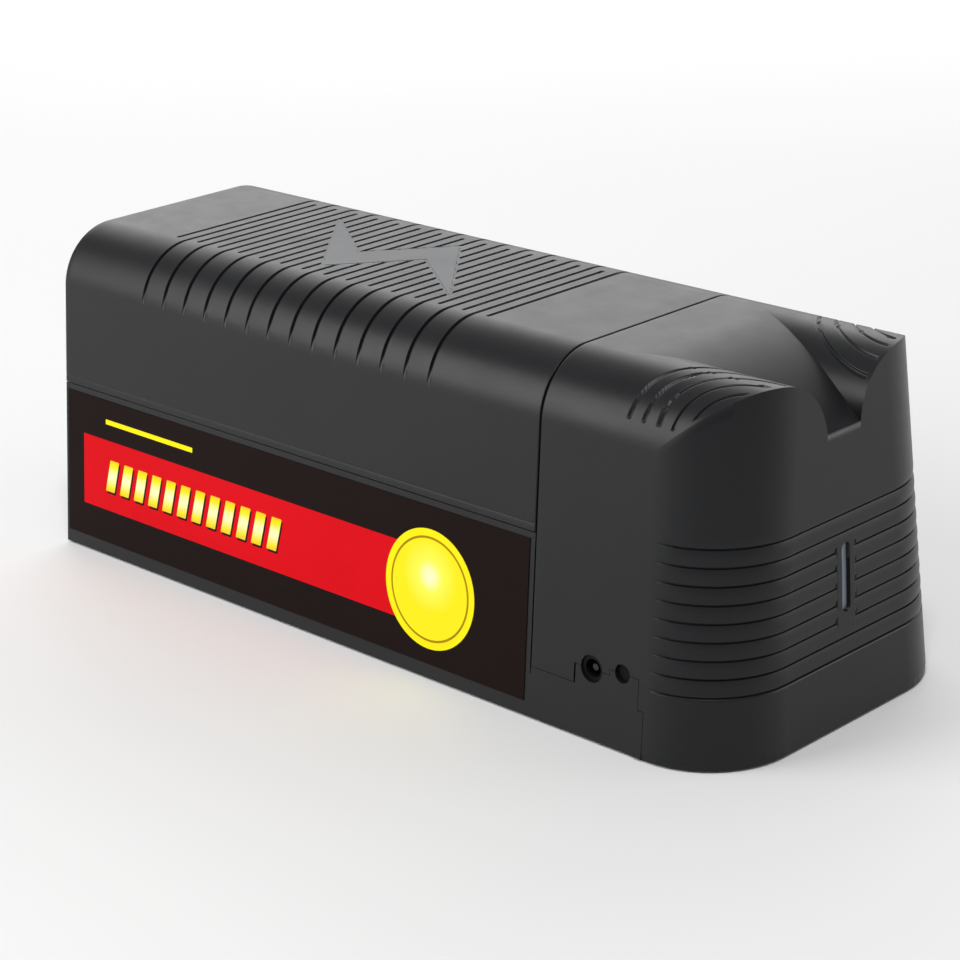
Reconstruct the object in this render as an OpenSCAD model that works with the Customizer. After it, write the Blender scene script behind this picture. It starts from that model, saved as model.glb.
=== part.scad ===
// Electronic high-voltage rat trap: a long tunnel (tray and hinged lid) with an electronics head.
// Frame: +X along the length towards the head, -Y the side with the sticker, +Z up.
// The origin is the middle of the footprint, on the surface that the rubber feet stand on.

/* [Body] */
// Overall length, along X
body_l = 280; // [260:1:300]
// Width of the footprint, along Y
base_w = 110; // [104:1:116]
// Overall height
body_h = 104; // [98:1:110]
// Inward lean of the long sides, mm per mm of height
side_draft = 0.092; // [0.08:0.002:0.1]
// Inward lean of the head's end face, mm per mm of height
end_draft = 0.035; // [0.02:0.005:0.05]
// Radius of the rounded long top edges
top_r = 19.5; // [17:0.5:21]
// Radius of the head's upright corners
head_corner_r = 26.8; // [24:0.2:28]
// Thickness of the moulded walls
wall = 2.2; // [2:0.1:2.4]

/* [Seams] */
// Height of the seam between lid and tray
seam_z = 54.5; // [52:0.5:58]
// Place of the seam between tunnel and head, along X
seam_x = 70; // [68:0.5:71]
// Gap left at every moulded seam
seam_gap = 0.3; // [0.2:0.05:0.4]
// End of the tray's low skirt under the head, along X
skirt_x = 109; // [108:0.5:109]
// Top of the tray's low skirt
skirt_z = 13.5; // [13:0.5:14]
// Top of the head's base plate
plate_z = 2.9; // [2.8:0.1:3]

/* [Tunnel] */
// Width of the entrance arch
arch_w = 62; // [56:1:64]
// Height of the entrance sill
arch_sill = 7; // [6:0.5:8]
// Top of the entrance arch
arch_top = 76; // [72:1:78]
// How far each baffle reaches past the middle line
baffle_reach = 8; // [0:1:12]

/* [Lid relief] */
// Number of cross grooves on the lid
groove_count = 29; // [21:2:29]
// Distance from one cross groove to the next
groove_pitch = 4.871; // [4.6:0.05:4.9]
// Width of a cross groove
groove_w = 1.5; // [1.2:0.1:1.8]
// Depth of a cross groove
groove_d = 0.8; // [0.6:0.1:1]

/* [Head relief] */
// Number of ring grooves around the head's end
ring_count = 9; // [7:1:9]
// Distance from one ring groove to the next
ring_pitch = 5.13; // [5:0.05:5.2]
// Height of the lowest ring groove
ring_z = 21.2; // [20.5:0.1:21.5]
// Number of finger grooves on each shoulder of the head
grip_count = 5; // [4:1:5]
// Radius of the valley's rounded sides
valley_r = 19.4; // [18.5:0.1:19.4]
// Half width of the valley's floor
valley_floor = 7.2; // [6.8:0.1:8]
// Start of the valley's ramp, along X
ramp_x = 88; // [86:1:92]
// Radius of the valley's ramp
ramp_r = 77; // [75:1:85]

/* [Sockets and controls] */
// Place of the supply socket, along X
jack_x = 92.7; // [92:0.1:93]
// Height of the supply socket
jack_z = 21.3; // [21:0.1:21.5]
// Radius of the hole over the supply socket
jack_hole_r = 3.9; // [3.8:0.1:4]
// Place of the power button, along X
button_x = 103.8; // [103.5:0.1:104]
// Height of the power button
button_z = 23; // [22.8:0.1:23.2]
// Radius of the hole over the power button
button_hole_r = 2.65; // [2.6:0.05:2.8]

/* [Hidden] */

$fn = 48;
touch = 0.02;          // gap between pieces of one body that bear on each other
over = 1;              // how far a cutter runs past the face that it opens
foot_proud = 0.6;      // rubber feet below the mouldings
tray_in = 0.3;         // the tray stands this far inside the lid
arc_parts = 12;        // straight parts in a quarter of a rounded outline
floor_z = foot_proud + wall;
start_x = -body_l / 2;
side_lean = sqrt(1 + side_draft * side_draft);
end_lean = sqrt(1 + end_draft * end_draft);
side_angle = atan(side_draft);
end_angle = atan(end_draft);
top_cz = body_h - top_r;
top_cy = base_w / 2 - side_draft * top_cz - top_r * side_lean;
lid_z = seam_z + seam_gap / 2;
tray_z = seam_z - seam_gap / 2;
tunnel_x1 = seam_x - seam_gap;
head_x0 = seam_x + seam_gap;

// Half width of the body at a height, measured inset from the outer skin
function side_y(z, inset = 0) = base_w / 2 - side_draft * z - inset * side_lean;
// Place of the head's end face at a height, measured inset from the outer skin
function end_x(z, inset = 0) = body_l / 2 - end_draft * z - inset * end_lean;
// Points of an arc
function arc(cx, cy, r, from, to, parts = arc_parts) =
  [for (i = [0:parts]) let(a = from + (to - from) * i / parts) [cx + r * cos(a), cy + r * sin(a)]];
// The same points on the other side of the upright axis, in reverse order
function mirrored(points) = [for (i = [len(points) - 1:-1:0]) [-points[i][0], points[i][1]]];

// Upright outline of the body, across its length
function half_outline(inset) = concat(
  [[side_y(-over, inset), -over]],
  arc(top_cy, top_cz, top_r - inset, side_angle, 90));
module section(inset, z0, z1) {
  intersection() {
    polygon(concat(half_outline(inset), mirrored(half_outline(inset))));
    translate([-base_w, z0]) square([2 * base_w, z1 - z0]);
  }
}
// Plan of the head at a height, with its two rounded corners
function head_corner(z, inset) =
  let(r = head_corner_r - inset, cx = end_x(z, inset) - r, cy = side_y(z, inset) - r)
  arc(cy, cx, r, 0, 90);
module head_plan(z, inset, x0 = 40) {
  // drawn as (y, x) and turned over, so that the outline can be mirrored like the section
  mirror([1, -1]) polygon(concat(
    [[side_y(z, inset), x0]], head_corner(z, inset),
    mirrored(head_corner(z, inset)), [[-side_y(z, inset), x0]]));
}
// Draws a (y, z) outline as a bar from x0 to x1
module along_x(x0, x1) {
  translate([x0, 0, 0]) rotate([90, 0, 90]) linear_extrude(x1 - x0) children();
}
// Draws an (x, z) outline as a bar from y0 to y1
module along_y(y0, y1) {
  translate([0, y1, 0]) rotate([90, 0, 0]) linear_extrude(y1 - y0) children();
}
module box(x0, x1, y0, y1, z0, z1) {
  translate([x0, y0, z0]) cube([x1 - x0, y1 - y0, z1 - z0]);
}
module post(x, y, z0, z1, r) {
  translate([x, y, z0]) cylinder(h = z1 - z0, r = r);
}
module rod_x(x0, x1, y, z, r) {
  translate([x0, y, z]) rotate([0, 90, 0]) cylinder(h = x1 - x0, r = r);
}
module rod_y(x, y0, y1, z, r) {
  translate([x, y1, z]) rotate([90, 0, 0]) cylinder(h = y1 - y0, r = r);
}
// A thin wire through a list of points
module wire(points, r) {
  for (i = [0:len(points) - 2]) hull() {
    translate(points[i]) sphere(r = r, $fn = 8);
    translate(points[i + 1]) sphere(r = r, $fn = 8);
  }
}

// ---- tunnel: entrance, hinge, tray and lid ----
arch_r = arch_w / 2;
module entrance_arch() {
  polygon(concat([[arch_r, arch_sill]], arc(0, arch_top - arch_r, arch_r, 0, 180, 24),
    [[-arch_r, arch_sill]]));
}

hinge_y = 51.6;
hinge_r = 2.7;
hinge_bore_r = 1.25;
pin_r = 1.2;
hinge_l = 30;
knuckle_l = 8;
hinge_starts = [-112, 18];
module tray_knuckles() {
  web = [[side_y(42), 42], [side_y(42) + 0.4, 42], [hinge_y + 2.5, seam_z - 1],
         [hinge_y, seam_z], [side_y(seam_z, wall), tray_z], [side_y(44, wall), 44]];
  for (x0 = hinge_starts, dx = [0, hinge_l - knuckle_l]) {
    rod_x(x0 + dx, x0 + dx + knuckle_l, hinge_y, seam_z, hinge_r);
    along_x(x0 + dx, x0 + dx + knuckle_l) polygon(web);
  }
}
module lid_knuckles() {
  web = [[side_y(64, wall), 64], [side_y(66), 66], [hinge_y + 2.4, seam_z + 1.2],
         [hinge_y, seam_z], [side_y(lid_z, wall) + 0.5, lid_z]];
  for (x0 = hinge_starts) {
    rod_x(x0 + knuckle_l + seam_gap, x0 + hinge_l - knuckle_l - seam_gap, hinge_y, seam_z, hinge_r);
    along_x(x0 + knuckle_l + seam_gap, x0 + hinge_l - knuckle_l - seam_gap) polygon(web);
  }
}
module hinge_bores() {
  for (x0 = hinge_starts) rod_x(x0 - over, x0 + hinge_l + over, hinge_y, seam_z, hinge_bore_r);
}
module knuckle_room(first, last) {
  for (x0 = hinge_starts) rod_x(x0 + first, x0 + last, hinge_y, seam_z, hinge_r + 0.5);
}

foot_r = 5;
foot_in = 1;
tray_feet = [[-126, 40], [-126, -40]];
base_feet = [[116, 38], [116, -38]];
module foot_pits(places) {
  for (p = places) post(p[0], p[1], foot_proud - over, foot_proud + foot_in + touch, foot_r + touch);
}
module tray() {
  color([0.15, 0.15, 0.16]) difference() {
    union() {
      difference() {
        along_x(start_x + tray_in, tunnel_x1) section(tray_in, foot_proud, tray_z);
        along_x(start_x + tray_in + wall, tunnel_x1 + over) section(tray_in + wall, floor_z, seam_z + over);
        knuckle_room(knuckle_l - 0.2, hinge_l - knuckle_l + 0.2);
      }
      difference() {
        along_x(tunnel_x1 - over, skirt_x) section(tray_in, foot_proud, skirt_z);
        along_x(tunnel_x1 - 2 * over, skirt_x + over)
          section(tray_in + wall, foot_proud - over, skirt_z + over);
      }
      tray_knuckles();
    }
    hinge_bores();
    along_x(start_x - over, start_x + 2 * wall) entrance_arch();
    foot_pits(tray_feet);
    for (p = plate_screw_places) post(p[0], p[1], floor_z - 1.6, floor_z + over, 0.8);
  }
}

groove_x0 = -104.8;
short_half = 27.5;
long_low_z = 88;
bolt_x = -35.7;
bolt_points = [[-44, 19.2], [-11.2, -3.8], [9.1, 20.4], [44, -19.2], [11.2, 3.8], [-9.1, -20.4]];
bolt_margin = 1.2;     // plain strip along y between a groove's end and the bolt
module bolt_outline() {
  translate([bolt_x, 0]) polygon(bolt_points);
}
// Each groove stops short of one long edge and runs down over the other, turn and turn about
module lid_grooves() {
  for (i = [0:groove_count - 1]) {
    x0 = groove_x0 + i * groove_pitch - groove_w / 2;
    mirror([0, i % 2, 0]) along_x(x0, x0 + groove_w) difference() {
      intersection() {
        section(-over, long_low_z, body_h + over);
        translate([-short_half, 0]) square([base_w + short_half, 2 * body_h]);
      }
      section(groove_d, 0, body_h + 2 * over);
    }
  }
}
module lid() {
  color([0.16, 0.16, 0.17]) difference() {
    union() {
      difference() {
        along_x(start_x, tunnel_x1) section(0, lid_z, body_h);
        along_x(start_x + wall, tunnel_x1 + over) section(wall, lid_z - over, body_h - wall);
        knuckle_room(-0.2, knuckle_l + 0.2);
        knuckle_room(hinge_l - knuckle_l - 0.2, hinge_l + 0.2);
      }
      lid_knuckles();
    }
    hinge_bores();
    along_x(start_x - over, start_x + 2 * wall) entrance_arch();
    difference() {
      lid_grooves();
      for (side = [-1, 1])
        translate([0, side * bolt_margin, body_h - 2 * over]) linear_extrude(4 * over) bolt_outline();
    }
    translate([0, 0, body_h - groove_d]) linear_extrude(2 * over) bolt_outline();
  }
}
module bolt_inlay() {
  color([0.28, 0.29, 0.3]) translate([0, 0, body_h - groove_d + touch])
    linear_extrude(groove_d - 2 * touch) offset(delta = -touch) bolt_outline();
}
module hinge_pins() {
  color("silver") for (x0 = hinge_starts) rod_x(x0, x0 + hinge_l, hinge_y, seam_z, pin_r);
}

label_t = 0.25;
label_x0 = -138.4;
label_x1 = 67.9;
label_z0 = 4.9;
label_z1 = 52.4;
module label() {
  color([0.14, 0.09, 0.08]) along_x(label_x0, label_x1) difference() {
    intersection() {
      section(tray_in - label_t, label_z0, label_z1);
      translate([-base_w, 0]) square([base_w, body_h]);
    }
    section(tray_in - touch, 0, body_h);
  }
}

// ---- inside the tunnel ----
baffle_t = 2;
baffles = [[-88, 1], [-38, -1], [12, 1]];
module baffle_set(inset, z0, z1) {
  for (b = baffles) along_x(b[0] - baffle_t / 2, b[0] + baffle_t / 2) intersection() {
    section(inset, z0, z1);
    translate([b[1] > 0 ? -baffle_reach : -base_w, 0])
      square([base_w + baffle_reach, body_h]);
  }
}
module tray_baffles() {
  color([0.2, 0.2, 0.21]) difference() {
    baffle_set(tray_in + wall + touch, floor_z + touch, tray_z - 0.3);
    rod_x(baffles[1][0] - 5, baffles[1][0] + 5, lead_ys[0], lead_z, 1.3);
  }
}
module lid_baffles() {
  color([0.2, 0.2, 0.21]) baffle_set(wall + touch, lid_z + 0.3, body_h - wall - touch);
}

plate_t = 0.8;
plate_lip = 11;
plate_starts = [-84.5, -34.5, 15.5];
plate_ends = [-42.5, 7.5, 50];
plate_side = tray_in + wall + 0.25;
plate_screw_places = [for (i = [0:2], s = [-1, 1])
  [(plate_starts[i] + plate_ends[i]) / 2, s * 40]];
// One shock plate: a steel sheet on the floor with low turned-up sides
module shock_plate(i) {
  color("silver") difference() {
    along_x(plate_starts[i], plate_ends[i]) difference() {
      section(plate_side, floor_z + touch, plate_lip);
      section(plate_side + plate_t, floor_z + touch + plate_t, plate_lip + over);
    }
    for (p = plate_screw_places) post(p[0], p[1], foot_proud, floor_z + 3, 1.1);
  }
}
module entry_plate() { shock_plate(0); }
module middle_plate() { shock_plate(1); }
module rear_plate() { shock_plate(2); }
module plate_screws() {
  color("gainsboro") for (p = plate_screw_places) {
    post(p[0], p[1], floor_z - 1.5, floor_z + plate_t + 3 * touch, 0.75);
    difference() {
      post(p[0], p[1], floor_z + plate_t + 2 * touch, floor_z + plate_t + 1, 1.9);
      box(p[0] - 1.3, p[0] + 1.3, p[1] - 0.2, p[1] + 0.2, floor_z + plate_t + 0.6, floor_z + 3);
    }
  }
}

cup_x = 60;
cup_r = 8.1;
cup_wall = 1;
cup_h = 10;
holder_gap = 0.1;
module bait_cup() {
  color([0.75, 0.12, 0.1]) difference() {
    post(cup_x, 0, floor_z + 0.1, floor_z + cup_h, cup_r);
    post(cup_x, 0, floor_z + 0.1 + cup_wall, floor_z + cup_h + over, cup_r - cup_wall);
  }
}
module bait_holder() {
  color([0.2, 0.2, 0.21]) difference() {
    post(cup_x, 0, floor_z + touch, floor_z + 5, cup_r + 1.1);
    post(cup_x, 0, floor_z - over, floor_z + 6, cup_r + holder_gap);
  }
}

magnet_z = body_h - wall - 4;
module lid_magnet() {
  color("silver") box(64, 67, -5, 5, magnet_z, body_h - wall - touch);
}
module reed_switch() {
  color([0.3, 0.5, 0.3]) difference() {
    union() {
      box(bulkhead_x1 + touch, bulkhead_x1 + 1.6, -9, 9, magnet_z - 3, magnet_z + 3);
      for (s = [-1, 1]) box(bulkhead_x1 + 1.5, bulkhead_x1 + 4.2, s * 8 - 0.6, s * 8 + 0.6,
        magnet_z - 1, magnet_z + 1);
      rod_y(bulkhead_x1 + 3.2, -7.5, 7.5, magnet_z, 1.1);
    }
  }
}

// ---- head: bulkhead, base, shell ----
bulkhead_x1 = head_x0 + 2;
lead_hole_z = 7;
lead_ys = [-45, -48, -36];
module bulkhead() {
  color([0.18, 0.18, 0.19]) difference() {
    along_x(head_x0 + touch, bulkhead_x1) section(wall + 0.5, plate_z + touch, body_h);
    for (y = lead_ys) rod_x(head_x0 - over, bulkhead_x1 + over, y, lead_hole_z, 1.4);
  }
}

// The parting line between base and shell: it steps up to the socket holes on the near side
strip_step = 109.6;
strip_x1 = 111.7;
strip_z = 15.7;
strip_step_z = 14.2;
tab_x0 = 86.9;
tab_x1 = 99.3;
strip_y = side_y(25, wall + 0.4);
near_tab = [[tab_x0, strip_z], [tab_x0, jack_z], [tab_x1, jack_z], [tab_x1, button_z], [strip_step, button_z]];
far_tab = [[strip_step, strip_z]];
// All that lies under the parting line, as an (x, z) outline
module under_parting(tab, z0) {
  polygon(concat([[seam_x - 5, z0], [seam_x - 5, strip_z]], tab,
    [[strip_step, strip_step_z], [strip_x1, strip_step_z], [strip_x1, z0]]));
}
module base_strip(tab, y0, y1) {
  intersection() {
    along_y(y0, y1) difference() {
      under_parting(tab, foot_proud);
      translate([0, -over]) square([skirt_x + seam_gap / 2, over + skirt_z + seam_gap / 2]);
    }
    strip_wall();
  }
}
module strip_wall() {
  along_x(head_x0, strip_x1 + over) difference() {
    section(0, foot_proud, 40);
    section(wall, foot_proud - over, 41);
  }
}
module socket_holes() {
  rod_y(jack_x, -base_w / 2 - over, -base_w / 2 + 8, jack_z, jack_hole_r);
  rod_y(button_x, -base_w / 2 - over, -base_w / 2 + 8, button_z, button_hole_r);
}

cell_r = 13.1;
cell_l = 50;
box_x0 = 75.5;
box_x1 = 131.5;
box_half = 30;
box_top = 60;
box_wall = 1.6;
door_x0 = 74.6;
door_x1 = 130.6;
door_travel = 5;
door_half = 28.8;
wing = 2;
wing_z0 = 1.35;
wing_z1 = 2.05;
case_screw_places = [[79, 46.5], [79, -46.5], [126, 41.5], [126, -41.5]];
module head_base() {
  color([0.15, 0.15, 0.16]) difference() {
    union() {
      translate([0, 0, foot_proud]) linear_extrude(plate_z - foot_proud) intersection() {
        head_plan(plate_z, 0.1);
        translate([skirt_x + seam_gap / 2, -base_w]) square([body_l, 2 * base_w]);
      }
      box(head_x0, skirt_x + over, -side_y(0, tray_in + wall + 0.3), side_y(0, tray_in + wall + 0.3),
        foot_proud, plate_z);
      base_strip(near_tab, -base_w, 0);
      base_strip(far_tab, 0, base_w);
    }
    socket_holes();
    foot_pits(base_feet);
    // opening for the cells, and the shallow bed and side slots that the door slides in
    box(box_x0 + box_wall, box_x1 - box_wall, -box_half + box_wall, box_half - box_wall, 0, plate_z + over);
    box(door_x0 - 0.2, door_x1 + door_travel + 0.4, -door_half - 0.2, door_half + 0.2,
      foot_proud - over, wing_z1 + 0.15);
    box(door_x0 - 0.2, door_x1 + door_travel + 0.4, -door_half - wing - 0.2, door_half + wing + 0.2,
      wing_z0 - 0.15, wing_z1 + 0.15);
    for (p = case_screw_places) {
      post(p[0], p[1], foot_proud - over, plate_z + over, 1.6);
      post(p[0], p[1], foot_proud - over, foot_proud + 1.4, 3.1);
    }
  }
}

// The valley in the head's top: a notch between two round shoulders that a ramp runs down into
valley_cy = valley_floor + valley_r;
valley_cz = body_h - valley_r;
valley_up = 86;        // the round sides stop at this angle, just short of the flat top
ramp_parts = 14;
module valley_profile(inset) {
  shoulder = [for (p = arc(0, 0, valley_r - inset, 0, valley_up)) [valley_cy - p[0], valley_cz + p[1]]];
  right = concat([[valley_floor + inset, 70]], shoulder, [[shoulder[arc_parts][0], body_h + 20]]);
  polygon(concat(right, mirrored(right)));
}
module ramp_profile(inset) {
  run = asin((body_l / 2 + 5 - ramp_x) / (ramp_r - inset));
  ramp = [for (i = [1:ramp_parts]) let(a = run * i / ramp_parts)
    [ramp_x + (ramp_r - inset) * sin(a), body_h - ramp_r + (ramp_r - inset) * cos(a)]];
  polygon(concat([[ramp_x - 1, body_h - inset + 0.2]], ramp,
    [[body_l / 2 + 5, body_h + 20], [ramp_x - 1, body_h + 20]]));
}
module valley(inset) {
  intersection() {
    along_x(ramp_x - 5, body_l) valley_profile(inset);
    along_y(-base_w / 2, base_w / 2) ramp_profile(inset);
  }
}
module head_solid(inset, x0, z0) {
  difference() {
    hull() intersection() {
      along_x(x0, body_l) section(inset, z0, body_h);
      hull() {
        translate([0, 0, -1]) linear_extrude(0.01) head_plan(-1, inset);
        translate([0, 0, body_h]) linear_extrude(0.01) head_plan(body_h, inset);
      }
    }
    valley(inset);
  }
}
ring_w = 1;
ring_d = 0.7;
ring_start = 106;
ring_gap_half = 3.9;
ring_first_cut = 2;    // the ring grooves from this one up to the last cut stop beside the window
ring_last_cut = 6;
module ring_grooves() {
  for (i = [0:ring_count - 1]) {
    z0 = ring_z + i * ring_pitch;
    difference() {
      translate([0, 0, z0 - ring_w / 2]) linear_extrude(ring_w) difference() {
        head_plan(z0, -over, ring_start);
        head_plan(z0, ring_d, ring_start - over);
      }
      if (i >= ring_first_cut && i <= ring_last_cut)
        box(0, body_l, -ring_gap_half, ring_gap_half, 0, body_h);
    }
  }
}
grip_x = 137;
grip_y = 49;
grip_r0 = 37;
grip_pitch = 5;
grip_w = 1.1;
grip_d = 0.6;
module grip_grooves(side) {
  for (i = [0:grip_count - 1]) {
    r = grip_r0 - i * grip_pitch;
    intersection() {
      translate([grip_x, side * grip_y, 70]) difference() {
        cylinder(h = 60, r = r);
        translate([0, 0, -over]) cylinder(h = 60 + 2 * over, r = r - grip_w);
      }
      along_x(80, 135) difference() {
        section(-over, 94, body_h + over);
        section(grip_d, 0, body_h + 2 * over);
      }
      box(80, 135, side > 0 ? 12 : -base_w / 2, side > 0 ? base_w / 2 : -12, 90, body_h + over);
    }
  }
}
window_half = 1.6;
window_z0 = 34;
window_z1 = 53.8;
module window_slot(grow) {
  r = window_half + grow;
  polygon(concat(arc(0, window_z1 - window_half, r, 0, 180), arc(0, window_z0 + window_half, r, 180, 360)));
}
boss_r = 3.4;
boss_top = 66;
module head_shell() {
  color([0.16, 0.16, 0.17]) difference() {
    union() {
      difference() {
        head_solid(0, head_x0, foot_proud);
        head_solid(wall, head_x0 - over, -0.5);
      }
      intersection() {
        for (p = case_screw_places) post(p[0], p[1], plate_z + touch, boss_top, boss_r);
        head_solid(wall / 2, head_x0, foot_proud);
      }
    }
    box(skirt_x, body_l, -base_w, base_w, foot_proud - over, plate_z + 0.15);
    along_y(-base_w, -strip_y) offset(delta = seam_gap / 2) under_parting(near_tab, -over);
    along_y(strip_y, base_w) offset(delta = seam_gap / 2) under_parting(far_tab, -over);
    socket_holes();
    for (p = case_screw_places) post(p[0], p[1], 0, 16, 1.25);
    along_x(120, body_l) window_slot(0.1);
    ring_grooves();
    for (side = [-1, 1]) grip_grooves(side);
  }
}
module case_screws() {
  color("gray") for (p = case_screw_places) {
    post(p[0], p[1], foot_proud + 0.2, 14, 1.2);
    difference() {
      post(p[0], p[1], foot_proud + 0.1, foot_proud + 1.35, 2.9);
      box(p[0] - 2, p[0] + 2, p[1] - 0.3, p[1] + 0.3, 0, foot_proud + 0.6);
      box(p[0] - 0.3, p[0] + 0.3, p[1] - 2, p[1] + 2, 0, foot_proud + 0.6);
    }
  }
}
module rubber_feet() {
  color([0.08, 0.08, 0.08]) for (p = concat(tray_feet, base_feet))
    post(p[0], p[1], 0, foot_proud + foot_in, foot_r);
}

// ---- inside the head: cells, boards, wiring ----
module battery_box() {
  color([0.22, 0.22, 0.23]) {
    difference() {
      box(box_x0, box_x1, -box_half, box_half, plate_z + touch, box_top);
      box(box_x0 + box_wall, box_x1 - box_wall, -box_half + box_wall, box_half - box_wall, 0, box_top - box_wall);
    }
    for (p = board_screw_places) difference() {
      post(p[0], p[1], box_top - 0.5, board_z - touch, 2.6);
      post(p[0], p[1], box_top, board_z, 0.85);
    }
  }
}
cell_xs = [(box_x0 + box_x1) / 2 - cell_r - 0.05, (box_x0 + box_x1) / 2 + cell_r + 0.05];
cell_zs = [plate_z + 0.6 + cell_r, plate_z + 0.8 + 3 * cell_r];
module battery_cells() {
  color([0.35, 0.36, 0.38]) for (x = cell_xs, z = cell_zs) {
    rod_y(x, -cell_l / 2, cell_l / 2 - 1.8, z, cell_r);
    rod_y(x, cell_l / 2 - 2, cell_l / 2, z, 3.3);
  }
}
module battery_contacts() {
  leaf = [[-6, 27.6], [-6, 28.1], [6, 28.1], [6, 27.6], [2.5, 27.6], [0, 25.3], [-2.5, 27.6]];
  color("gold") for (x = cell_xs, z = cell_zs, s = [-1, 1])
    translate([x, 0, z - 4]) linear_extrude(8) mirror([0, s > 0 ? 0 : 1]) polygon(leaf);
}
module battery_door() {
  color([0.14, 0.14, 0.15]) difference() {
    union() {
      box(door_x0, door_x1, -door_half, door_half, foot_proud + 0.1, wing_z1);
      box(door_x0, door_x1, -door_half - wing, door_half + wing, wing_z0, wing_z1);
    }
    // finger ridges, cut as grooves in the outer face
    for (i = [0:5]) box(door_x0 + 6 + 3 * i, door_x0 + 7.4 + 3 * i, -12, 12, 0, foot_proud + 0.6);
  }
}

board_z = 66;
board_t = 1.6;
board_x0 = 77;
board_x1 = 129;
board_half = 33;
board_screw_places = [[81, 26], [81, -26], [125, 26], [125, -26]];
module circuit_board() {
  color([0.05, 0.3, 0.14]) difference() {
    box(board_x0, board_x1, -board_half, board_half, board_z, board_z + board_t);
    for (p = board_screw_places) post(p[0], p[1], board_z - over, board_z + board_t + over, 1.2);
  }
}
module board_screws() {
  color("silver") for (p = board_screw_places) {
    post(p[0], p[1], board_z - 5, board_z + board_t + 0.1, 0.8);
    post(p[0], p[1], board_z + board_t + touch, board_z + board_t + 1.4, 2);
  }
}
parts_z = board_z + board_t + touch;
module transformer() {
  color([0.25, 0.22, 0.2]) {
    box(84, 104, -20, -15, parts_z + 2, parts_z + 14);
    box(84, 104, -5, 0, parts_z + 2, parts_z + 14);
    box(84, 88, -16, -4, parts_z + 2, parts_z + 14);
    box(100, 104, -16, -4, parts_z + 2, parts_z + 14);
    rod_x(87, 101, -10, parts_z + 8, 4.8);
    box(86, 102, -17, -3, parts_z, parts_z + 2.5);
  }
}
module storage_capacitors() {
  color([0.1, 0.15, 0.4]) {
    rod_x(86, 108, 10, parts_z + 6, 5.9);
    rod_x(86, 108, 23, parts_z + 6, 5.9);
    box(110, 122, 6, 24, parts_z, parts_z + 9);
  }
}
module board_chips() {
  color([0.08, 0.08, 0.08]) {
    box(108, 116, -14, -6, parts_z, parts_z + 1.6);
    box(112, 117, 0, 4, parts_z, parts_z + 1.4);
    for (i = [0:4]) box(107 + 3.6 * i, 109 + 3.6 * i, -22, -18.8, parts_z, parts_z + 1);
    for (i = [0:1]) rod_y(119 + 3.5 * i, -13, -6, parts_z + 1.4, 1.3);
  }
}
socket_xs = [86, 95, 104, 113];
module lead_sockets() {
  color("ivory") for (x = socket_xs) difference() {
    box(x - 3, x + 3, -31.5, -26, parts_z, parts_z + 6);
    for (dx = [-1.3, 1.3]) box(x + dx - 0.9, x + dx + 0.9, -30.5, -27, parts_z + 2, parts_z + 7);
  }
}
lead_r = 0.8;
lead_x = 74;
lead_z = floor_z + plate_t + 0.95;
lead_ends = [plate_ends[0] - 6, plate_ends[1] - 6, plate_ends[2] - 6];
lead_lean = 8;         // the leads lean in with the head's side
// Three leads, from the board down behind the bulkhead and along the tunnel's floor to the plates
module plate_leads() {
  color("red") for (i = [0:2]) let(y = lead_ys[i], x = socket_xs[i] - 1.3, z = parts_z + 8 + 2.3 * i) wire([
    [x, -28.5, parts_z + 3], [x, -29, z], [lead_x, y + lead_lean, z], [lead_x, y, lead_hole_z],
    [66, y, lead_hole_z], [63, y, lead_z], [lead_ends[i], y, lead_z]], lead_r);
}
module supply_leads() {
  color([0.1, 0.1, 0.1]) for (s = [-1, 1]) let(x = jack_x + 2 + s, sx = socket_xs[3] - 1.3 * s) wire([
    [x, -39.6, 26], [x, -35.2, 32], [x, -35.2, parts_z + 9 - 1.2 * s],
    [sx, -29, parts_z + 10 - 1.5 * s], [sx, -29, parts_z + 3]], 0.6);
}

jack_face = -side_y(jack_z) + 0.7;
board_face = -41.9;
module socket_board() {
  color([0.05, 0.3, 0.14]) box(85, 109, board_face, board_face + 1.6, 13, 31);
}
module dc_jack() {
  color([0.05, 0.05, 0.05]) difference() {
    union() {
      rod_y(jack_x, jack_face, -48, jack_z, jack_hole_r - 0.1);
      box(jack_x - 4.6, jack_x + 4.6, -50.2, board_face - touch, jack_z - 5.4, jack_z + 5.4);
    }
    rod_y(jack_x, jack_face - over, -43.4, jack_z, 2.75);
    rod_y(jack_x, -44, board_face + over, jack_z, 1.02);
  }
}
module jack_pin() {
  color("silver") rod_y(jack_x, jack_face + 1, board_face - touch, jack_z, 1);
}
button_r = button_hole_r - 0.2;
module power_button() {
  color([0.04, 0.04, 0.04]) {
    rod_y(button_x, -side_y(button_z) + 1.1, -47.3, button_z, button_r);
    rod_y(button_x, -50.3, -49.6, button_z, button_r + 0.7);
    rod_y(button_x, -47.4, -46.6, button_z, 1.4);
  }
}
module button_switch() {
  color([0.2, 0.2, 0.2]) {
    box(button_x - 3, button_x + 3, -45.2, board_face - touch, button_z - 3, button_z + 3);
    rod_y(button_x, -45.8, -45, button_z, 1.7);
  }
}

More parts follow.
